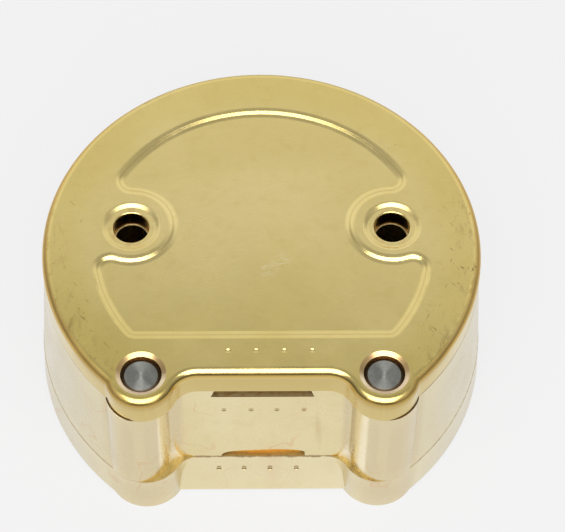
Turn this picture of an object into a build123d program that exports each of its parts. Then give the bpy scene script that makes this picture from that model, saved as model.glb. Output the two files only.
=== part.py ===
from build123d import *
import os
from math import hypot, sqrt

# ---------------------------------------------------------------- dimensions
# All sizes in millimetres. The closed flask stands on z = 0, the flat heel
# side with the two guide pins faces -Y, the round back faces +Y.
TOP = 47.0            # height of the closed flask
Z_RING = 11.0         # parting plane between base and ring
Z_LID = 39.2          # parting plane between ring and lid

R_LID = 52.5          # outline radius of the lid and of the ring's top
R_RING_LOW = 54.5     # outline radius of the ring at the base parting plane
R_BASE = 54.55        # outline radius of the base at its parting plane
R_FOOT = 55.1         # outline radius of the base at its foot
Y_WALL = -36.3        # heel wall at the lid
Y_WALL_LOW = -37.7    # heel wall at the ring's foot
Y_WALL_FOOT = -41.8   # heel wall at the foot of the base

PIN_X = 28.1          # guide pins either side of the middle
PIN_Y = -36.0
R_PIN = 4.7625        # 9.525 mm pins
R_GUIDE = 4.82        # running bores in ring and lid
R_MOUTH = 5.85        # countersunk mouth of the lid's pin bores
MOUTH_DEPTH = 0.6
CUT_X = 33.0          # half width of the heel cut, ends inside the bosses
PIN_TOP = 45.85
PIN_FOOT = 1.6        # the pins end in blind bores in the base
R_BOSS = 8.4          # pin bosses, lid
R_BOSS_RING = 8.85    # pin bosses, foot of the ring
R_BOSS_BASE = 8.95    # pin bosses, top of the base
R_BOSS_FOOT = 9.5     # pin bosses, foot of the base

EDGE = 2.0            # rounded top edge of the lid
PANEL_R = 40.6        # recessed panel on the lid
PANEL_Y = -26.2
PANEL_DEPTH = 0.75
LAND_R = 9.35         # raised land round each side hole
LAND_Y = 5.75
HOLE_X = 31.33        # side holes through the lid
HOLE_Y = 5.25
R_HOLE = 4.25
R_DISH = 6.9          # shallow dish round each side hole
R_DISH_IN = 5.75
DISH_DEPTH = 0.6
R_LIP = 3.95          # narrow lip at the foot of each side hole

R_CAVITY = 47.0       # moulding space
Y_CAVITY = -31.0
R_POST = 8.2          # walls kept round the pin bores
Z_LID_IN = 41.4       # underside of the lid inside the rim
Z_FLOOR = 4.2         # top of the base floor
R_PLATE = 21.0        # loose knock-out plate
PLATE_GAP = 0.25
Z_SEAT = 2.6          # seat of the plate
PLATE_T = 2.4
R_EJECT = 14.0        # opening under the plate


# rows of punch marks: x of each, then where the row sits
MARK_BALL = 1.1
MARK_DEEP = 0.22
MARK_X_LID = (-8.0, -1.5, 5.0, 11.5)
MARK_Y_LID = -30.1
MARK_X_RING = (-9.1, -2.7, 3.4, 9.8)
MARK_Z_RING = 31.4
MARK_X_BASE = (-10.5, -4.4, 1.9, 8.3)
MARK_Z_BASE = 7.5


def slab(sketch, z0, z1):
    """Straight prism of a sketch between two heights."""
    return Pos(0, 0, z0) * extrude(sketch, z1 - z0)


def heel_cut(z0, y0, z1, y1):
    """Wedge that takes the heel segment off between the two bosses."""
    face = Plane.YZ * make_face(Polyline((y0, z0), (-70, z0), (-70, z1), (y1, z1), (y0, z0)))
    return extrude(face, CUT_X, both=True)


def xz_prism(face, y0, y1):
    """Prism of a face drawn in x and z, between two values of y."""
    return extrude(Plane((0, y1, 0), x_dir=(1, 0, 0), z_dir=(0, -1, 0)) * face, y1 - y0)


def at_pins(maker):
    return [Pos(s * PIN_X, PIN_Y, 0) * maker() for s in (-1, 1)]


def near(shape, x, y, tol, kind=None):
    """Edges whose middle lies near +-x, y, seen from above."""
    out = []
    for e in shape.edges():
        c = e.position_at(0.5)
        if abs(abs(c.X) - x) < tol and abs(c.Y - y) < tol:
            a, b = e.position_at(0), e.position_at(1)
            if kind is None or abs(a.Z - b.Z) > kind:
                out.append(e)
    return out


def cavity_sketch(r, y, post):
    s = Circle(r) - Pos(0, y - 50) * Rectangle(200, 100)
    for sx in (-1, 1):
        s -= Pos(sx * PIN_X, PIN_Y) * Circle(post)
    return s


def punch(xs, y, z, out):
    """Row of shallow round dimples about points on a face whose outward normal is out."""
    off = Vector(*out).normalized() * (MARK_BALL - MARK_DEEP)
    tool = Pos(xs[0] + off.X, y + off.Y, z + off.Z) * Sphere(MARK_BALL)
    for x in xs[1:]:
        tool += Pos(x + off.X, y + off.Y, z + off.Z) * Sphere(MARK_BALL)
    return tool


# ------------------------------------------------------------------- lid
outline = Circle(R_LID) - Pos(0, Y_WALL - 25) * Rectangle(2 * CUT_X, 50)
for sx in (-1, 1):
    outline += Pos(sx * PIN_X, PIN_Y) * Circle(R_BOSS)
inner = [v for v in outline.vertices() if abs(abs(v.X) - 19.7) < 1.5 and v.Y < -35]
outline = fillet(inner, 6.0)
outer = [v for v in outline.vertices() if abs(abs(v.X) - 36.3) < 1.5 and v.Y < -35]
outline = fillet(outer, 2.0)
lid = slab(outline, Z_LID, TOP)
lid = fillet(lid.faces().sort_by(Axis.Z)[-1].outer_wire().edges(), EDGE)

# recessed panel: a disc cut off square at the heel, with a round land left
# standing about each side hole, its border rolled over top and bottom
panel = Circle(PANEL_R) - Pos(0, PANEL_Y - 25) * Rectangle(200, 50)
for sx in (-1, 1):
    panel -= Pos(sx * HOLE_X, LAND_Y) * Circle(LAND_R)
panel = [f for f in panel.faces() if f.area > 1000][0]
horn = [v for v in panel.vertices() if v.Y > PANEL_Y + 2]
panel = fillet(horn, 4.0)
foot = [v for v in panel.vertices() if v.Y < PANEL_Y + 1]
panel = fillet(foot, 3.0)
pocket = Pos(0, 0, TOP) * extrude(panel, -PANEL_DEPTH, taper=65)
lid -= pocket
rim_edges = [e for e in lid.edges() if abs(e.position_at(0.5).Z - TOP) < 1e-3
             and abs(e.position_at(0).Z - TOP) < 1e-3
             and (e.position_at(0.5).X ** 2 + e.position_at(0.5).Y ** 2) ** 0.5 < PANEL_R + 0.6
             and e.position_at(0.5).Y > PANEL_Y - 0.5]
lid = fillet(rim_edges, 2.2)
floor_edges = [e for e in lid.edges() if abs(e.position_at(0.5).Z - (TOP - PANEL_DEPTH)) < 1e-3
               and abs(e.position_at(0).Z - (TOP - PANEL_DEPTH)) < 1e-3]
lid = fillet(floor_edges, 2.2)

# four round punch marks in a row, the same on lid, ring and base
lid -= punch(MARK_X_LID, MARK_Y_LID, TOP, (0, 0, 1))

# underside: shallow relief inside the rim
lid -= slab(cavity_sketch(R_CAVITY, Y_CAVITY, R_POST), Z_LID - 1, Z_LID_IN)

# side holes: a shallow dish with a rolled rim, then a straight hole with a
# narrow lip at its lower end
z_dish = TOP - DISH_DEPTH
for sx in (-1, 1):
    hole = make_face(Polyline((0, TOP + 1), (R_DISH, TOP + 1), (R_DISH, TOP), (R_DISH_IN, z_dish), (R_HOLE, z_dish),
                              (R_HOLE, Z_LID_IN + 0.5), (R_LIP, Z_LID_IN + 0.4), (R_LIP, Z_LID_IN - 1),
                              (0, Z_LID_IN - 1), (0, TOP + 1)))
    lid -= Pos(sx * HOLE_X, HOLE_Y, 0) * revolve(Plane.XZ * hole, Axis.Z)
for radius, z, r in ((R_DISH, TOP, 1.0), (R_DISH_IN, z_dish, 0.8), (R_HOLE, z_dish, 0.4)):
    ring_edges = [e for e in lid.edges().filter_by(GeomType.CIRCLE)
                  if abs(e.radius - radius) < 0.02 and abs(e.position_at(0.5).Z - z) < 0.02
                  and abs(e.arc_center.Y - HOLE_Y) < 0.02]
    lid = fillet(ring_edges, r)

# countersunk pin bores
for sx in (-1, 1):
    bore = make_face(Polyline((0, TOP + 1), (R_MOUTH + (R_MOUTH - R_GUIDE) / MOUTH_DEPTH, TOP + 1),
                              (R_GUIDE, TOP - MOUTH_DEPTH),
                              (R_GUIDE, Z_LID - 1), (0, Z_LID - 1), (0, TOP + 1)))
    lid -= Pos(sx * PIN_X, PIN_Y, 0) * revolve(Plane.XZ * bore, Axis.Z)

# ------------------------------------------------------------------ ring
H_RING = Z_LID - Z_RING
ring = Pos(0, 0, (Z_LID + Z_RING) / 2) * Cone(R_RING_LOW, R_LID, H_RING)
ring -= heel_cut(Z_RING, Y_WALL_LOW, Z_LID, Y_WALL)
# each boss is narrower towards the heel wall: outside the line of the pin it is
# a cone round the pin, inside it a smaller cone set outboard
for sx, dx, dy in ((-1, 1.5, -1.3), (1, 0.9, -0.8)):
    mid = (Z_LID + Z_RING) / 2
    x, y = PIN_X + dx, PIN_Y + dy
    full = Pos(sx * PIN_X, PIN_Y, mid) * Cone(R_BOSS_RING, R_BOSS, H_RING)
    full &= Pos(sx * (x + 20), PIN_Y, mid) * Box(40, 60, 60)
    r_low = abs(PIN_Y - (R_BOSS_RING ** 2 - dx ** 2) ** 0.5 - y)
    r_top = abs(PIN_Y - (R_BOSS ** 2 - dx ** 2) ** 0.5 - y)
    ring += full
    ring += Pos(sx * x, y, mid) * Cone(r_low, r_top, H_RING)
ring = fillet(near(ring, 21.8, -37.2, 1.6, 10), 1.2)


def foot_flare(sx, bx, by, r_low, r_top):
    """Hollow corner between heel wall and boss that opens out over its last few millimetres."""
    faces = []
    for z, r in ((Z_RING, 4.0), (Z_RING + 3.0, 2.0), (Z_RING + 7.0, 1.2)):
        k = (z - Z_RING) / H_RING
        rb = r_low + (r_top - r_low) * k
        yw = Y_WALL_LOW + (Y_WALL - Y_WALL_LOW) * k
        cy = yw - r
        cx = bx - sqrt((rb + r) ** 2 - (cy - by) ** 2)
        wx, wy = cx, yw
        px, py = bx + (cx - bx) * rb / (rb + r), by + (cy - by) * rb / (rb + r)
        ux, uy = (wx - cx) + (px - cx), (wy - cy) + (py - cy)
        ux, uy = ux / hypot(ux, uy), uy / hypot(ux, uy)
        sink = 0.02
        pts = [(wx + sink * ux, wy + sink * uy), (cx + (r + sink) * ux, cy + (r + sink) * uy),
               (px + sink * ux, py + sink * uy), (bx - rb + 1.2, yw + 0.8)]
        pts = [(sx * x, y, z) for x, y in pts]
        faces.append(make_face([ThreePointArc(pts[0], pts[1], pts[2]), Line(pts[2], pts[3]), Line(pts[3], pts[0])]))
    return loft(faces, ruled=True)


for sx, dx, dy in ((-1, 1.5, -1.3), (1, 0.9, -0.8)):
    x, y = PIN_X + dx, PIN_Y + dy
    r_low = abs(PIN_Y - (R_BOSS_RING ** 2 - dx ** 2) ** 0.5 - y)
    r_top = abs(PIN_Y - (R_BOSS ** 2 - dx ** 2) ** 0.5 - y)
    ring += foot_flare(sx, x, y, r_low, r_top)
ring -= slab(cavity_sketch(R_CAVITY, Y_CAVITY, R_POST), Z_RING - 1, Z_LID + 1)
for b in at_pins(lambda: Pos(0, 0, (Z_LID + Z_RING) / 2) * Cylinder(R_GUIDE, H_RING + 2)):
    ring -= b
# pry slot under the lid: a shallow dovetail in the top edge of the heel wall
SLOT_IN = 1.8
dovetail = make_face(Polyline((-11.2, Z_LID + 0.5), (11.2, Z_LID + 0.5), (12.1, Z_LID - 2.3),
                              (-12.1, Z_LID - 2.3), (-11.2, Z_LID + 0.5)))
ring -= xz_prism(dovetail, -60, Y_WALL + SLOT_IN)
# pry slot over the base: a low arch in the foot of the heel wall
ARCH = ((-9.9, 0.0), (-9.6, 1.0), (-8.8, 1.7), (-7.7, 2.1), (-5.0, 2.5), (0.0, 2.85),
        (4.7, 3.0), (8.0, 2.7), (9.9, 2.1), (10.3, 1.7), (10.3, 0.0))
rim_line = Spline(*[(x, Z_RING + h) for x, h in ARCH[:-1]])
arch = make_face(rim_line + Polyline((10.3, Z_RING + 1.7), (10.3, Z_RING - 0.5), (-9.9, Z_RING - 0.5), (-9.9, Z_RING)))
ring -= xz_prism(arch, -60, Y_WALL_LOW + 1.4)
ring -= punch(MARK_X_RING, Y_WALL_LOW + (Y_WALL - Y_WALL_LOW) * (MARK_Z_RING - Z_RING) / H_RING, MARK_Z_RING,
              (0, -H_RING, Y_WALL - Y_WALL_LOW))

# ------------------------------------------------------------------ base
base = Pos(0, 0, Z_RING / 2) * Cone(R_FOOT, R_BASE, Z_RING)
base = fillet(base.edges().sort_by(Axis.Z)[0], 1.2)
keep = make_face(Polyline((0, 0), (Y_WALL_FOOT, 0), (Y_WALL_LOW, Z_RING), (0, Z_RING), (0, 0)))
keep = fillet([v for v in keep.vertices() if v.X < Y_WALL_FOOT + 0.1], 1.2)
front = make_face(Polyline((-20, -1), (-70, -1), (-70, Z_RING + 1), (-20, Z_RING + 1), (-20, -1)))
heel = extrude(Plane.YZ * front, CUT_X, both=True) - extrude(Plane.YZ * keep, CUT_X + 1, both=True)
base -= heel
# square-footed bosses, run into the heel wall with a wide hollow corner
bosses = Pos(0, (Y_WALL_LOW + Y_CAVITY) / 2) * Rectangle(2 * PIN_X, Y_CAVITY - Y_WALL_LOW)
for sx in (-1, 1):
    bosses += Pos(sx * PIN_X, PIN_Y) * Circle(R_BOSS_BASE)
corner = [v for v in bosses.vertices() if abs(v.X) < PIN_X - 5 and v.Y < Y_WALL_LOW + 0.1]
bosses = fillet(corner, 6.0)
base += slab(bosses, 0, Z_RING)
for boss in at_pins(lambda: Pos(0, 0, Z_RING / 2) * Cone(R_BOSS_FOOT, R_BOSS_BASE, Z_RING)):
    base += boss
base -= punch(MARK_X_BASE, Y_WALL_FOOT + (Y_WALL_LOW - Y_WALL_FOOT) * MARK_Z_BASE / Z_RING, MARK_Z_BASE,
              (0, -Z_RING, Y_WALL_LOW - Y_WALL_FOOT))
# moulding space, seat of the loose plate and the opening below it
space = cavity_sketch(R_CAVITY, Y_CAVITY, R_POST)
base -= slab(space, Z_FLOOR, Z_RING + 1)
base -= Pos(0, 0, (Z_SEAT + Z_RING) / 2) * Cylinder(R_PLATE + PLATE_GAP, Z_RING - Z_SEAT)
base -= Pos(0, 0, 0) * Cylinder(R_EJECT, 20)
for b in at_pins(lambda: Pos(0, 0, (PIN_FOOT + Z_RING + 1) / 2) * Cylinder(R_PIN, Z_RING + 1 - PIN_FOOT)):
    base -= b

# ----------------------------------------------------------- loose plate
plate = Pos(0, 0, Z_SEAT + PLATE_T / 2) * Cylinder(R_PLATE, PLATE_T)
plate = chamfer(plate.edges(), 0.35)

# ------------------------------------------------------------ guide pins
def pin():
    body = Pos(0, 0, (PIN_FOOT + PIN_TOP) / 2) * Cylinder(R_PIN, PIN_TOP - PIN_FOOT)
    return chamfer(body.edges().sort_by(Axis.Z)[-1], 0.9)


pins = at_pins(pin)

os.makedirs("parts", exist_ok=True)
export_step(Part() + base, "parts/base.step")
export_step(Part() + ring, "parts/upper_ring.step")
export_step(Part() + lid, "parts/lid.step")
export_step(Part() + plate, "parts/ejector_plate.step")
export_step(Part() + pins[0], "parts/guide_pin_left.step")
export_step(Part() + pins[1], "parts/guide_pin_right.step")
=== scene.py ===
import bpy, math
from mathutils import Matrix, Vector

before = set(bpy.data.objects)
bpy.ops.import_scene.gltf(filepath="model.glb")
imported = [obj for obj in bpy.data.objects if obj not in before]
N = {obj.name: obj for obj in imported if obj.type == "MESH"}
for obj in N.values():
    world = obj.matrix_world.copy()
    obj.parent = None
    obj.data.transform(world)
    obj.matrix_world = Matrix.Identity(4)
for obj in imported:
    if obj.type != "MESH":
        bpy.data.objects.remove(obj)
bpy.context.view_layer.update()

# ---------------------------------------------------------------- node helpers


class G:
    """Small helper that builds a material's node graph."""

    def __init__(self, name):
        self.mat = bpy.data.materials.new(name)
        self.mat.use_nodes = True
        self.t = self.mat.node_tree
        self.t.nodes.clear()
        self.out = self.t.nodes.new("ShaderNodeOutputMaterial")
        self.bsdf = self.t.nodes.new("ShaderNodeBsdfPrincipled")
        self.t.links.new(self.bsdf.outputs[0], self.out.inputs[0])
        self.pos = self.t.nodes.new("ShaderNodeTexCoord").outputs["Object"]
        self.sep = self.t.nodes.new("ShaderNodeSeparateXYZ")
        self.t.links.new(self.pos, self.sep.inputs[0])
        self.x, self.y, self.z = self.sep.outputs
        geo = self.t.nodes.new("ShaderNodeNewGeometry")
        self.point = geo.outputs["Pointiness"]
        nrm = self.t.nodes.new("ShaderNodeTexCoord").outputs["Normal"]
        s2 = self.t.nodes.new("ShaderNodeSeparateXYZ")
        self.t.links.new(nrm, s2.inputs[0])
        self.nx, self.ny, self.nz = s2.outputs

    def put(self, sock, v):
        if isinstance(v, bpy.types.NodeSocket):
            self.t.links.new(v, sock)
        else:
            sock.default_value = v

    def m(self, op, a, b=None, c=None, clamp=False):
        n = self.t.nodes.new("ShaderNodeMath")
        n.operation = op
        n.use_clamp = clamp
        self.put(n.inputs[0], a)
        if b is not None:
            self.put(n.inputs[1], b)
        if c is not None:
            self.put(n.inputs[2], c)
        return n.outputs[0]

    def rng(self, v, a, b, c=0.0, d=1.0, kind="SMOOTHSTEP"):
        n = self.t.nodes.new("ShaderNodeMapRange")
        n.interpolation_type = kind
        n.clamp = True
        for s, w in zip(n.inputs, (v, a, b, c, d)):
            self.put(s, w)
        return n.outputs[0]

    def near(self, v, at, half, soft):
        """1 where v lies within half of at, fading to 0 over soft."""
        d = self.m("ABSOLUTE", self.m("SUBTRACT", v, at))
        return self.rng(d, half, half + soft, 1.0, 0.0)

    def noise(self, scale, detail=3.0, rough=0.55, vec=None, stretch=None, dist=0.0, seed=0.0):
        n = self.t.nodes.new("ShaderNodeTexNoise")
        n.noise_dimensions = "4D"
        n.inputs["W"].default_value = seed
        n.inputs["Scale"].default_value = scale
        n.inputs["Detail"].default_value = detail
        n.inputs["Roughness"].default_value = rough
        n.inputs["Distortion"].default_value = dist
        v = vec or self.pos
        if stretch:
            mp = self.t.nodes.new("ShaderNodeMapping")
            mp.vector_type = "TEXTURE"
            mp.inputs["Scale"].default_value = [1.0 / s for s in stretch[:3]]
            if len(stretch) > 3:
                mp.inputs["Rotation"].default_value = (0, 0, stretch[3])
            self.t.links.new(v, mp.inputs[0])
            v = mp.outputs[0]
        self.t.links.new(v, n.inputs["Vector"])
        return n.outputs["Fac"]

    def voro(self, scale, feature="F1", stretch=None, rand=1.0):
        n = self.t.nodes.new("ShaderNodeTexVoronoi")
        n.feature = feature
        n.inputs["Scale"].default_value = scale
        n.inputs["Randomness"].default_value = rand
        v = self.pos
        if stretch:
            mp = self.t.nodes.new("ShaderNodeMapping")
            mp.vector_type = "TEXTURE"
            mp.inputs["Scale"].default_value = [1.0 / s for s in stretch[:3]]
            if len(stretch) > 3:
                mp.inputs["Rotation"].default_value = (0, 0, stretch[3])
            self.t.links.new(v, mp.inputs[0])
            v = mp.outputs[0]
        self.t.links.new(v, n.inputs["Vector"])
        return n.outputs["Distance"]

    def mix(self, f, a, b, kind="MIX"):
        n = self.t.nodes.new("ShaderNodeMix")
        n.data_type = "RGBA"
        n.blend_type = kind
        self.put(n.inputs[0], f)
        self.put(n.inputs[6], a if isinstance(a, bpy.types.NodeSocket) else (*a, 1.0))
        self.put(n.inputs[7], b if isinstance(b, bpy.types.NodeSocket) else (*b, 1.0))
        return n.outputs[2]

    def dist2(self, a, ax, b, bx):
        return self.m("SQRT", self.m("ADD", self.m("POWER", self.m("SUBTRACT", a, ax), 2.0),
                                     self.m("POWER", self.m("SUBTRACT", b, bx), 2.0)))

    def bump(self, height, strength=1.0, dist=0.0001, normal=None):
        n = self.t.nodes.new("ShaderNodeBump")
        n.inputs["Strength"].default_value = strength
        n.inputs["Distance"].default_value = dist
        self.t.links.new(height, n.inputs["Height"])
        if normal is not None:
            self.t.links.new(normal, n.inputs["Normal"])
        return n.outputs[0]


# mid, light and dark tones: a deeper gold for the lid, paler tones for the ring and base
TONES = {
    "lid": ((0.78, 0.63, 0.255), (0.84, 0.69, 0.315), (0.68, 0.525, 0.175)),
    "ring": ((0.79, 0.675, 0.375), (0.84, 0.735, 0.45), (0.72, 0.575, 0.285)),
    "base": ((0.85, 0.74, 0.455), (0.89, 0.79, 0.53), (0.78, 0.64, 0.35)),
    "plate": ((0.80, 0.65, 0.32), (0.85, 0.71, 0.38), (0.70, 0.54, 0.22)),
}
TARNISH = (0.26, 0.15, 0.05)
COPPER = (0.72, 0.40, 0.22)


def brass(name, kind):
    g = G(name)
    # broad clouding of the colour, then a finer mottle
    big = g.rng(g.noise(28, 2.0, 0.5, seed=1.3), 0.35, 0.68)
    fine = g.noise(260, 4.0, 0.6, seed=4.1)
    mid, hi, lo = TONES[kind]
    col = g.mix(big, mid, hi)
    col = g.mix(g.rng(fine, 0.45, 0.8, 0.0, 0.35), col, lo)
    rad = g.dist2(g.x, 0.0, g.y, 0.0)
    up = g.rng(g.nz, 0.6, 0.95)
    rough = g.rng(g.noise(90, 3.0, 0.6, seed=9.0), 0.3, 0.7, 0.21, 0.31)
    # fine handling scratches, three directions
    s1 = g.noise(1, 0.0, 0.5, stretch=(2300, 26, 60, 0.5), seed=2.0)
    s2 = g.noise(1, 0.0, 0.5, stretch=(2100, 24, 60, -0.7), seed=6.0)
    s3 = g.noise(1, 0.0, 0.5, stretch=(2500, 28, 60, 1.7), seed=8.0)
    scr = g.m("MAXIMUM", g.rng(s1, 0.70, 0.78), g.m("MAXIMUM", g.rng(s2, 0.71, 0.79), g.rng(s3, 0.70, 0.78)))
    specks = g.rng(g.noise(900, 2.0, 0.5, seed=3.3), 0.69, 0.76)
    patch = g.rng(g.noise(60, 3.0, 0.6, seed=5.0), 0.48, 0.66)
    if kind == "lid":
        ax = g.m("ABSOLUTE", g.x)
        bore = g.dist2(ax, 0.03133, g.y, 0.00525)
        # brushed grain, a darker tone towards the front and left, dark scuffs and specks on the outer rim
        grain = g.noise(1, 3.0, 0.6, stretch=(260, 3200, 260, 0.06), seed=31.0)
        col = g.mix(g.m("MULTIPLY", g.rng(grain, 0.42, 0.70), 0.16), col, lo)
        lean = g.m("ADD", g.m("MULTIPLY", g.x, 0.18), g.y)
        col = g.mix(g.m("MULTIPLY", g.rng(rad, 0.039, 0.047, 0.0, 0.4), up), col, (0.73, 0.57, 0.165))
        front_left_darkening = g.m("MULTIPLY", g.rng(lean, 0.012, -0.042), g.rng(g.noise(36, 3.0, 0.6, seed=33.0), 0.15, 0.75, 0.6, 1.0))
        col = g.mix(g.m("MULTIPLY", front_left_darkening, g.m("MULTIPLY", up, 0.60)), col, (0.56, 0.44, 0.115))
        rim = g.m("MULTIPLY", g.rng(rad, 0.0445, 0.0505), up)
        rim2 = g.m("MULTIPLY", g.rng(rad, 0.0405, 0.047), up)
        flank = g.m("MULTIPLY", g.rng(g.m("ABSOLUTE", g.x), 0.026, 0.042), g.rng(g.y, 0.022, 0.0))
        scuff = g.m("MULTIPLY", g.rng(g.noise(300, 5.0, 0.75, stretch=(1.6, 0.55, 1), seed=7.7), 0.50, 0.68), rim)
        scuff = g.m("MULTIPLY", scuff, g.m("ADD", g.m("MULTIPLY", flank, 0.85), 0.15))
        dots = g.m("MULTIPLY", g.m("MULTIPLY", specks, patch), rim2)
        nicks = g.rng(g.noise(1, 2.0, 0.5, stretch=(1500, 260, 200, 0.75), seed=41.0), 0.66, 0.72)
        nicks2 = g.rng(g.noise(1, 2.0, 0.5, stretch=(1300, 330, 200, -0.35), seed=43.0), 0.67, 0.73)
        nicks = g.m("MULTIPLY", g.m("MAXIMUM", nicks, nicks2), g.m("MULTIPLY", rim2, flank))
        dark = g.m("ADD", g.m("MULTIPLY", scuff, 0.5), g.m("MULTIPLY", dots, 0.7), clamp=True)
        dark = g.m("ADD", dark, g.m("MULTIPLY", nicks, 0.75), clamp=True)
        col = g.mix(dark, col, TARNISH)
        # painted dark line half way down the panel's border, standing in for the shade on its slope
        border_shade_line = g.m("MULTIPLY", g.near(g.z, 0.046625, 0.00003, 0.00005), g.rng(g.nz, 0.97, 0.94))
        border_shade_line = g.m("MULTIPLY", border_shade_line, g.rng(bore, 0.0075, 0.0085))
        col = g.mix(g.m("MULTIPLY", border_shade_line, 0.35), col, (0.40, 0.29, 0.08))
        # the steeper part of the rolled edge is painted a deeper, browner gold, standing in for the dark reflection
        # there
        roll_shade = g.m("MULTIPLY", g.near(g.nz, 0.42, 0.22, 0.22), g.rng(g.z, 0.0448, 0.0452))
        roll_shade = g.m("MULTIPLY", roll_shade, g.rng(bore, 0.0075, 0.0085))
        col = g.mix(g.m("MULTIPLY", roll_shade, 0.8), col, (0.62, 0.41, 0.10))
        # the side parts of the rolled edge are hazier and painted a browner gold, standing in for their darker
        # reflection
        side_roll_haze_and_shade = g.m("MULTIPLY", g.near(g.nz, 0.66, 0.26, 0.08), g.m("MULTIPLY", g.rng(g.z, 0.0448, 0.0452), g.rng(rad, 0.0485, 0.0500)))
        side_roll_haze_and_shade = g.m("MULTIPLY", side_roll_haze_and_shade, g.rng(g.m("ABSOLUTE", g.nx), 0.18, 0.45))
        rough = g.m("ADD", rough, g.m("MULTIPLY", side_roll_haze_and_shade, 0.14))
        col = g.mix(g.m("MULTIPLY", side_roll_haze_and_shade, 0.55), col, (0.78, 0.50, 0.145))
        # the lid's side band is painted by the way it faces, standing in for how the light falls on it: a deeper gold
        # in front and pale like the ring elsewhere
        band = g.m("MULTIPLY", g.rng(g.z, 0.0455, 0.0445), g.rng(g.nz, 0.5, 0.1))
        front = g.rng(g.ny, -0.35, -0.80)
        col = g.mix(g.m("MULTIPLY", band, g.m("SUBTRACT", 1.0, front)), col, (0.74, 0.64, 0.39))
        col = g.mix(g.m("MULTIPLY", g.m("MULTIPLY", band, front), 0.85), col, (0.61, 0.465, 0.175))
        rough = g.m("ADD", rough, g.m("MULTIPLY", dark, 0.12))
        # the panel's border is polished smoother by handling
        rough = g.m("MULTIPLY", rough, g.m("SUBTRACT", 1.0, g.m("MULTIPLY", g.m("MULTIPLY", g.rng(g.nz, 0.99, 0.96), g.rng(rad, 0.0465, 0.0445)), 0.2)))
        # the shallow dishes round the side holes are a little hazier
        rough = g.m("ADD", rough, g.m("MULTIPLY", g.m("MULTIPLY", g.rng(bore, 0.0074, 0.0068), g.rng(bore, 0.0044, 0.0047)), 0.07))
        # painted deeper gold just under the rolled edge, round the bosses, standing in for the dark reflection there
        boss_belt_shade = g.m("MULTIPLY", g.m("MULTIPLY", g.rng(g.z, 0.0432, 0.0449), g.rng(g.nz, 0.80, 0.55)), g.m("MULTIPLY", g.rng(ax, 0.0190, 0.0225), g.rng(g.y, -0.028, -0.032)))
        col = g.mix(g.m("MULTIPLY", boss_belt_shade, 0.6), col, (0.50, 0.335, 0.095))
        # coppery pin mouths, their front halves painted pale to stand in for the light they catch, and brown side
        # holes with a bright lip at their foot
        pin = g.rng(g.dist2(ax, 0.0281, g.y, -0.036), 0.0061, 0.0055)
        side = g.m("MULTIPLY", g.rng(bore, 0.0045, 0.0043), g.rng(g.z, 0.0458, 0.0456))
        heat = g.m("MULTIPLY", g.rng(bore, 0.0066, 0.0048), g.rng(g.noise(520, 3.0, 0.6, seed=35.0), 0.45, 0.7))
        ahead = g.rng(g.y, -0.0345, -0.0385)
        col = g.mix(g.m("MULTIPLY", pin, 0.7), col, g.mix(ahead, (0.62, 0.37, 0.19), (1.0, 0.85, 0.70)))
        rough = g.m("ADD", rough, g.m("MULTIPLY", pin, 0.08))
        # a patch of fine light scratches near the middle
        u = g.m("ADD", g.m("MULTIPLY", g.m("SUBTRACT", g.x, 0.0031), 0.75), g.m("MULTIPLY", g.m("ADD", g.y, 0.0058), 0.66))
        v = g.m("SUBTRACT", g.m("MULTIPLY", g.m("ADD", g.y, 0.0058), 0.75), g.m("MULTIPLY", g.m("SUBTRACT", g.x, 0.0031), 0.66))
        patchy = g.m("MULTIPLY", g.rng(g.m("ABSOLUTE", u), 0.0055, 0.0030), g.rng(g.m("ABSOLUTE", v), 0.0026, 0.0012))
        rub = g.rng(g.noise(1, 3.0, 0.6, stretch=(420, 5200, 300, 0.30), seed=47.0), 0.50, 0.62)
        rub = g.m("MULTIPLY", g.m("MULTIPLY", rub, patchy), up)
        col = g.mix(g.m("MULTIPLY", rub, 0.55), col, (0.95, 0.86, 0.58))
        col = g.mix(g.m("MULTIPLY", heat, 0.45), col, (0.62, 0.34, 0.10))
        col = g.mix(g.m("MULTIPLY", side, g.rng(g.z, 0.0417, 0.0420, 0.0, 0.9)), col, (0.30, 0.17, 0.08))
    seams = {"lid": ((0.0392, 0.0),), "ring": ((0.0392, 0.0), (0.011, 0.0001)), "base": ((0.011, 0.0001),),
             "plate": ((0.005, 0.0001),)}[kind]
    # hairline seams, here and there a little wider
    ragged = g.m("MULTIPLY", g.rng(g.noise(300, 4.0, 0.7, seed=11.0), 0.35, 0.75), 0.00042)
    for at, w in seams:
        d = g.m("ABSOLUTE", g.m("SUBTRACT", g.z, at))
        # the lid's seam is closed at the bosses and opens towards the right side
        open_by = g.m("ADD", g.m("MULTIPLY", ragged, 0.3), g.rng(g.x, 0.0345, 0.0385, 0.0, 0.00027)) if at > 0.03 else ragged
        if at > 0.03:
            open_by = g.m("ADD", open_by, g.rng(g.x, -0.0375, -0.0420, 0.0, 0.00008))
        tone = g.rng(g.m("SUBTRACT", d, open_by), w, w + 0.00012, 1.0, 0.0)
        out = g.rng(rad, 0.030, 0.036)
        if at > 0.03:
            # tight in front between the bosses, open round their outer sides
            away = g.rng(g.m("ABSOLUTE", g.x), 0.0267, 0.0275)
            out = g.m("MULTIPLY", out, g.m("MAXIMUM", away, g.rng(g.y, -0.030, -0.028)))
            seam = g.m("MULTIPLY", tone, out)
        col = g.mix(g.m("MULTIPLY", g.m("MULTIPLY", tone, out), 0.75), col, TARNISH)
    if kind in ("ring", "base"):
        # faint pinkish stains on the drafted walls
        stain = g.m("MULTIPLY", g.rng(g.noise(75, 3.0, 0.6, stretch=(1, 1, 0.45), seed=13.0), 0.52, 0.72), 0.28)
        col = g.mix(stain, col, (0.80, 0.52, 0.34))
        drips = g.m("MULTIPLY", g.rng(g.noise(130, 3.0, 0.6, stretch=(1, 1, 0.12), seed=17.0), 0.62, 0.72), 0.25)
        col = g.mix(drips, col, (0.50, 0.34, 0.14))
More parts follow.
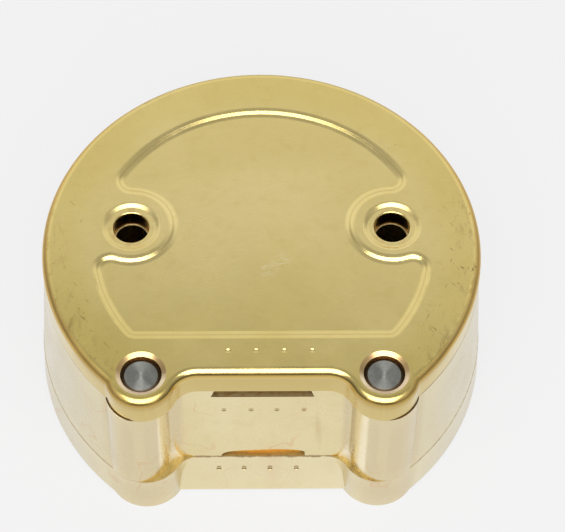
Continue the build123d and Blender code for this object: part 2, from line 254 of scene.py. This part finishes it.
        # painted greyer on the side-facing flanks, standing in for their grazing reflection, and a shade darker on
        # the two bosses, less on their left-facing sides, standing in for shade
        flank = g.rng(g.m("ABSOLUTE", g.nx), 0.45, 0.95)
        col = g.mix(g.m("MULTIPLY", flank, 0.8), col, (0.69, 0.635, 0.50))
        boss = g.rng(g.dist2(g.m("ABSOLUTE", g.x), 0.0285, g.y, -0.0365), 0.0102, 0.0085)
        boss = g.m("MULTIPLY", boss, g.rng(g.nx, -0.95, -0.3, 0.4, 1.0))
        col = g.mix(g.m("MULTIPLY", boss, 0.8), col, (0.70, 0.59, 0.38))
        # dried edges of old drops, as thin pinkish outlines
        field = g.noise(62, 2.0, 0.45, seed=19.0)
        line = g.near(field, 0.47, 0.002, 0.007)
        line = g.m("MULTIPLY", line, g.rng(g.noise(40, 2.0, 0.5, seed=27.0), 0.48, 0.62))
        col = g.mix(g.m("MULTIPLY", line, 0.4), col, (0.70, 0.42, 0.22))
    if kind == "ring":
        # dark line under the lid, clear on the right, fainter on the left
        by_side = g.m("ADD", g.rng(g.x, 0.0345, 0.0375), g.rng(g.x, -0.0375, -0.0410, 0.0, 0.45))
        col = g.mix(g.m("MULTIPLY", g.m("MULTIPLY", seam, by_side), 0.8), col, TARNISH)
    # inside faces are dull and brown from the plaster
    inner = g.m("MULTIPLY", g.rng(rad, 0.0478, 0.0470), g.rng(g.m("ABSOLUTE", g.m("SUBTRACT", g.z, 0.0228)), 0.0187, 0.0182))
    inner = g.m("MULTIPLY", inner, g.rng(g.y, -0.0322, -0.0312))
    col = g.mix(g.m("MULTIPLY", inner, 0.45), col, (0.42, 0.28, 0.12))
    rough = g.m("ADD", rough, g.m("MULTIPLY", inner, 0.2))
    col = g.mix(g.m("MULTIPLY", scr, g.rng(g.noise(45, 2.0, 0.5, seed=53.0), 0.45, 0.65, 0.02, 0.14)), col, hi)
    # worn edges lighten
    edge = g.rng(g.point, 0.52, 0.60, 0.0, 0.25)
    col = g.mix(edge, col, hi)
    if kind in ("ring", "base"):
        # ledges left open at the parting planes are painted a dull dark brown, standing in for the shade and dark
        # reflection there, and made rougher
        ledge_shade = g.m("MULTIPLY", g.rng(g.nz, 0.6, 0.9), g.rng(rad, 0.036, 0.038))
        tone, ledge_deep_shade = ((0.47, 0.355, 0.13), (0.31, 0.22, 0.075)) if kind == "base" else ((0.46, 0.34, 0.14), (0.30, 0.20, 0.08))
        ledge_shade = g.m("MULTIPLY", ledge_shade, g.rng(g.z, 0.0108, 0.0109) if kind == "base" else g.rng(g.z, 0.0390, 0.0391))
        col = g.mix(g.m("MULTIPLY", ledge_shade, 0.95), col, g.mix(g.rng(g.noise(500, 3.0, 0.6, seed=57.0), 0.45, 0.7), tone, ledge_deep_shade))
        rough = g.m("ADD", rough, g.m("MULTIPLY", ledge_shade, 0.35))
    if kind == "ring":
        ax = g.m("ABSOLUTE", g.x)
        # the narrow shelf round the bosses: painted shadow along the lid, pale metal outside it
        shelf = g.m("MULTIPLY", ledge_shade, g.m("MULTIPLY", g.rng(ax, 0.0278, 0.0284), g.rng(g.y, -0.0365, -0.0372)))
        off = g.dist2(ax, 0.0281, g.y, -0.036)
        col = g.mix(shelf, col, g.mix(g.rng(off, 0.00862, 0.00872), (0.12, 0.07, 0.03), (0.96, 0.88, 0.66)))
        # insides of the two pry slots, painted to stand in for the light inside them: dull brown above with a pale
        # floor, and warm orange below
        up_slot = g.m("MULTIPLY", g.m("MULTIPLY", g.near(g.z, 0.03805, 0.0013, 0.0001), g.near(g.y, -0.0353, 0.0009, 0.0001)), g.rng(ax, 0.0125, 0.0123))
        lo_slot = g.m("MULTIPLY", g.m("MULTIPLY", g.near(g.z, 0.0125, 0.0016, 0.0001), g.near(g.y, -0.0360, 0.0010, 0.0001)), g.rng(ax, 0.0109, 0.0107))
        floor_in = g.rng(g.nz, 0.5, 0.9)
        slot_lit_mottle = g.rng(g.noise(700, 3.0, 0.6, seed=51.0), 0.34, 0.52)
        slot_col = g.mix(g.m("MULTIPLY", g.m("ADD", g.m("MULTIPLY", floor_in, 0.6), 0.4), slot_lit_mottle), (0.55, 0.37, 0.13), (1.0, 0.88, 0.52))
        col = g.mix(g.m("MULTIPLY", up_slot, 0.9), col, slot_col)
        col = g.mix(lo_slot, col, (0.80, 0.47, 0.09))
        rough = g.m("ADD", rough, g.m("MULTIPLY", lo_slot, 0.25))
        rough = g.m("ADD", rough, g.m("MULTIPLY", up_slot, 0.35))
        # the flared foot beside the bosses is painted paler, standing in for the light sheen there, and is hazier
        flare = g.m("MULTIPLY", g.rng(g.z, 0.0175, 0.0135), g.m("MULTIPLY", g.near(ax, 0.0222, 0.0035, 0.0012), g.rng(g.y, -0.0370, -0.0378)))
        flare = g.m("MULTIPLY", flare, g.rng(g.nz, 0.02, 0.12))
        col = g.mix(g.m("MULTIPLY", flare, 0.8), col, (1.0, 0.955, 0.82))
        rough = g.m("ADD", rough, g.m("MULTIPLY", flare, 0.35))
        # painted shadow: a thin dark line along the foot of the upper slot
        slot_foot_shadow = g.m("MULTIPLY", g.near(g.z, 0.0369, 0.00008, 0.00008), g.m("MULTIPLY", g.rng(ax, 0.0122, 0.0120), g.rng(g.y, -0.033, -0.0335)))
        col = g.mix(g.m("MULTIPLY", slot_foot_shadow, 0.75), col, (0.20, 0.12, 0.04))
        # painted highlight: the inner flanks of the two bosses are brighter
        flank_highlight = g.m("MULTIPLY", g.near(ax, 0.0233, 0.0009, 0.0008), g.rng(g.y, -0.0372, -0.0382))
        col = g.mix(g.m("MULTIPLY", flank_highlight, 0.8), col, (1.0, 0.90, 0.64))
        # painted shade inside the punch marks on the ring's front wall
        punch_mark_shade = g.m("MULTIPLY", g.near(g.z, 0.0314, 0.0009, 0.0001), g.rng(g.m("ABSOLUTE", g.m("SUBTRACT", g.nz, 0.0496)), 0.03, 0.10))
        punch_mark_shade = g.m("MULTIPLY", punch_mark_shade, g.m("MULTIPLY", g.rng(ax, 0.0115, 0.0113), g.rng(g.y, -0.030, -0.034)))
        col = g.mix(g.m("MULTIPLY", punch_mark_shade, 0.6), col, (0.45, 0.30, 0.12))
    if kind == "base":
        # painted shade inside the punch marks on the base's front wall
        punch_mark_shade = g.m("MULTIPLY", g.near(g.z, 0.0075, 0.0009, 0.0001), g.rng(g.m("ABSOLUTE", g.m("SUBTRACT", g.nz, 0.349)), 0.03, 0.12))
        punch_mark_shade = g.m("MULTIPLY", punch_mark_shade, g.m("MULTIPLY", g.rng(g.m("ABSOLUTE", g.x), 0.0115, 0.0113), g.rng(g.y, -0.030, -0.034)))
        col = g.mix(g.m("MULTIPLY", punch_mark_shade, 0.8), col, (0.36, 0.24, 0.09))
    h = g.m("ADD", g.m("MULTIPLY", g.noise(420, 4.0, 0.6, seed=21.0), 0.6), g.m("MULTIPLY", g.noise(70, 3.0, 0.5, seed=23.0), 2.2))
    g.put(g.bsdf.inputs["Base Color"], col)
    g.put(g.bsdf.inputs["Roughness"], rough)
    g.bsdf.inputs["Metallic"].default_value = 1.0
    g.put(g.bsdf.inputs["Normal"], g.bump(h, 0.35, 0.00006))
    return g.mat


def steel(name, cx):
    g = G(name)
    dx = g.m("SUBTRACT", g.x, cx)
    dy = g.m("SUBTRACT", g.y, -0.036)
    r = g.dist2(g.x, cx, g.y, -0.036)
    # turning marks: rings of uneven width on the end face
    n = g.t.nodes.new("ShaderNodeTexNoise")
    n.noise_dimensions = "1D"
    n.inputs["Scale"].default_value = 4200.0
    n.inputs["Detail"].default_value = 3.0
    g.t.links.new(r, n.inputs["W"])
    rings = n.outputs["Fac"]
    top = g.rng(g.nz, 0.6, 0.9)
    col = g.mix(g.rng(g.noise(600, 3.0, 0.6, seed=2.0), 0.35, 0.7), (0.22, 0.225, 0.205), (0.30, 0.305, 0.28))
    col = g.mix(g.m("MULTIPLY", g.rng(g.noise(1400, 2.0, 0.5, seed=5.0), 0.58, 0.68), 0.4), col, (0.24, 0.19, 0.13))
    col = g.mix(g.m("MULTIPLY", g.rng(rings, 0.40, 0.62), g.m("MULTIPLY", top, 0.4)), col, (0.24, 0.245, 0.22))
    centre = g.rng(r, 0.0009, 0.0002, 0.0, 0.35)
    col = g.mix(centre, col, (0.55, 0.55, 0.52))
    # the chamfer round the end face is painted dark, standing in for its dark reflection
    rim = g.m("MULTIPLY", g.rng(r, 0.0037, 0.0040), g.rng(g.nz, 0.97, 0.87))
    col = g.mix(g.m("MULTIPLY", rim, 0.85), col, (0.13, 0.09, 0.06))
    g.put(g.bsdf.inputs["Base Color"], col)
    g.bsdf.inputs["Metallic"].default_value = 1.0
    g.put(g.bsdf.inputs["Roughness"], g.rng(g.noise(300, 2.0, 0.5, seed=6.0), 0.3, 0.7, 0.36, 0.44))
    g.put(g.bsdf.inputs["Anisotropic"], g.m("MULTIPLY", top, 0.85))
    tan = g.t.nodes.new("ShaderNodeCombineXYZ")
    g.t.links.new(dx, tan.inputs[0])
    g.t.links.new(dy, tan.inputs[1])
    g.t.links.new(tan.outputs[0], g.bsdf.inputs["Tangent"])
    h = g.m("ADD", g.m("MULTIPLY", rings, top), g.m("MULTIPLY", g.noise(1500, 2.0, 0.5, seed=7.0), 0.4))
    g.put(g.bsdf.inputs["Normal"], g.bump(h, 0.4, 0.00002))
    return g.mat


def give(node, mat):
    me = N[node].data
    me.materials.clear()
    me.materials.append(mat)


give("lid", brass("lid_brass", "lid"))
give("upper_ring", brass("ring_brass", "ring"))
give("base", brass("base_brass", "base"))
give("ejector_plate", brass("plate_brass", "plate"))
give("guide_pin_left", steel("pin_steel_left", -0.0281))
give("guide_pin_right", steel("pin_steel_right", 0.0281))

# ------------------------------------------------------------------ floor
bpy.ops.mesh.primitive_plane_add(size=6.0, location=(0, 0, 0))
floor = bpy.context.object
floor.name = "floor"
fm = bpy.data.materials.new("floor_paper")
fm.use_nodes = True
ft = fm.node_tree
ft.nodes.clear()
fo = ft.nodes.new("ShaderNodeOutputMaterial")
fx = ft.nodes.new("ShaderNodeMixShader")
fe = ft.nodes.new("ShaderNodeEmission")
fd = ft.nodes.new("ShaderNodeBsdfDiffuse")
fe.inputs[0].default_value = (0.888, 0.888, 0.890, 1)
fc = ft.nodes.new("ShaderNodeTexCoord")
fl = ft.nodes.new("ShaderNodeVectorMath")
fl.operation = "LENGTH"
ft.links.new(fc.outputs["Object"], fl.inputs[0])
fr = ft.nodes.new("ShaderNodeMapRange")
fr.interpolation_type = "SMOOTHSTEP"
for sock, v in zip(fr.inputs[1:5], (0.15, 0.50, 0.97, 0.36)):
    sock.default_value = v
ft.links.new(fl.outputs["Value"], fr.inputs[0])
ft.links.new(fr.outputs[0], fe.inputs[1])
fd.inputs[0].default_value = (0.9, 0.9, 0.9, 1)
fx.inputs[0].default_value = 0.10
ft.links.new(fe.outputs[0], fx.inputs[1])
ft.links.new(fd.outputs[0], fx.inputs[2])
ft.links.new(fx.outputs[0], fo.inputs[0])
floor.data.materials.append(fm)

# ------------------------------------------------------------------ light
w = bpy.data.worlds.new("studio")
bpy.context.scene.world = w
w.use_nodes = True
wt = w.node_tree
bg = wt.nodes["Background"]
tc = wt.nodes.new("ShaderNodeTexCoord")
sp = wt.nodes.new("ShaderNodeSeparateXYZ")
wt.links.new(tc.outputs["Generated"], sp.inputs[0])


def ramp(points):
    n = wt.nodes.new("ShaderNodeValToRGB")
    wt.links.new(sp.outputs[2], n.inputs[0])
    cr = n.color_ramp
    cr.interpolation = "EASE"
    while len(cr.elements) < len(points):
        cr.elements.new(0.5)
    for el, (p, v) in zip(cr.elements, points):
        el.position = p
        el.color = (v, v, v, 1)
    return n.outputs[0]


# pale wall behind that darkens overhead; a dim room at the sides and in front
behind = ramp([(0.0, 0.88), (0.45, 0.96), (0.72, 0.99), (0.82, 0.75), (0.91, 0.45), (1.0, 0.42)])
ahead = ramp([(0.0, 0.17), (0.34, 0.19), (0.50, 0.42), (0.75, 0.52), (1.0, 0.42)])
xx = wt.nodes.new("ShaderNodeMath")
xx.operation = "MULTIPLY"
wt.links.new(sp.outputs[0], xx.inputs[0])
wt.links.new(sp.outputs[0], xx.inputs[1])
flat = wt.nodes.new("ShaderNodeMath")
flat.operation = "MULTIPLY_ADD"
wt.links.new(sp.outputs[1], flat.inputs[0])
wt.links.new(sp.outputs[1], flat.inputs[1])
wt.links.new(xx.outputs[0], flat.inputs[2])
root = wt.nodes.new("ShaderNodeMath")
root.operation = "SQRT"
wt.links.new(flat.outputs[0], root.inputs[0])
turn = wt.nodes.new("ShaderNodeMath")
turn.operation = "DIVIDE"
wt.links.new(sp.outputs[1], turn.inputs[0])
wt.links.new(root.outputs[0], turn.inputs[1])
side = wt.nodes.new("ShaderNodeMapRange")
side.interpolation_type = "SMOOTHSTEP"
side.inputs[1].default_value = 0.45
side.inputs[2].default_value = 0.78
wt.links.new(turn.outputs[0], side.inputs[0])
wm = wt.nodes.new("ShaderNodeMix")
wm.data_type = "RGBA"
wt.links.new(side.outputs[0], wm.inputs[0])
wt.links.new(ahead, wm.inputs[6])
wt.links.new(behind, wm.inputs[7])
wt.links.new(wm.outputs[2], bg.inputs[0])
bg.inputs[1].default_value = 1.0


def area(name, loc, target, size, power, size_y=None):
    d = bpy.data.lights.new(name, "AREA")
    d.energy = power
    d.size = size
    if size_y:
        d.shape = "RECTANGLE"
        d.size_y = size_y
    o = bpy.data.objects.new(name, d)
    bpy.context.collection.objects.link(o)
    o.location = loc
    o.rotation_euler = (Vector(target) - Vector(loc)).to_track_quat("-Z", "Y").to_euler()
    return o


area("key", (-0.03, -0.528, 0.8435), (0, 0, 0.03), 1.1, 12.5, 0.92)

# ----------------------------------------------------------------- camera
cd = bpy.data.cameras.new("camera")
cam = bpy.data.objects.new("camera", cd)
bpy.context.collection.objects.link(cam)
right = Vector((0.9998793606607667, -0.011143208962450494, 0.010820952760084416))
upv = Vector((0.0032110995718183833, 0.8299001583972369, 0.5579026939635455))
back = Vector((-0.015197136709152929, -0.5578006417944146, 0.8298358217440259))
rot = Matrix((right, upv, back)).transposed().to_4x4()
cam.matrix_world = Matrix.Translation(Vector((-3.7278e-3, -322.2893e-3, 516.9344e-3))) @ rot
cd.sensor_width = 36.0
cd.lens = 151.9907
cd.clip_start = 0.01
bpy.context.scene.camera = cam

sc = bpy.context.scene
sc.view_settings.view_transform = "Standard"
sc.view_settings.look = "None"
sc.view_settings.exposure = 0.0
sc.view_settings.gamma = 1.0
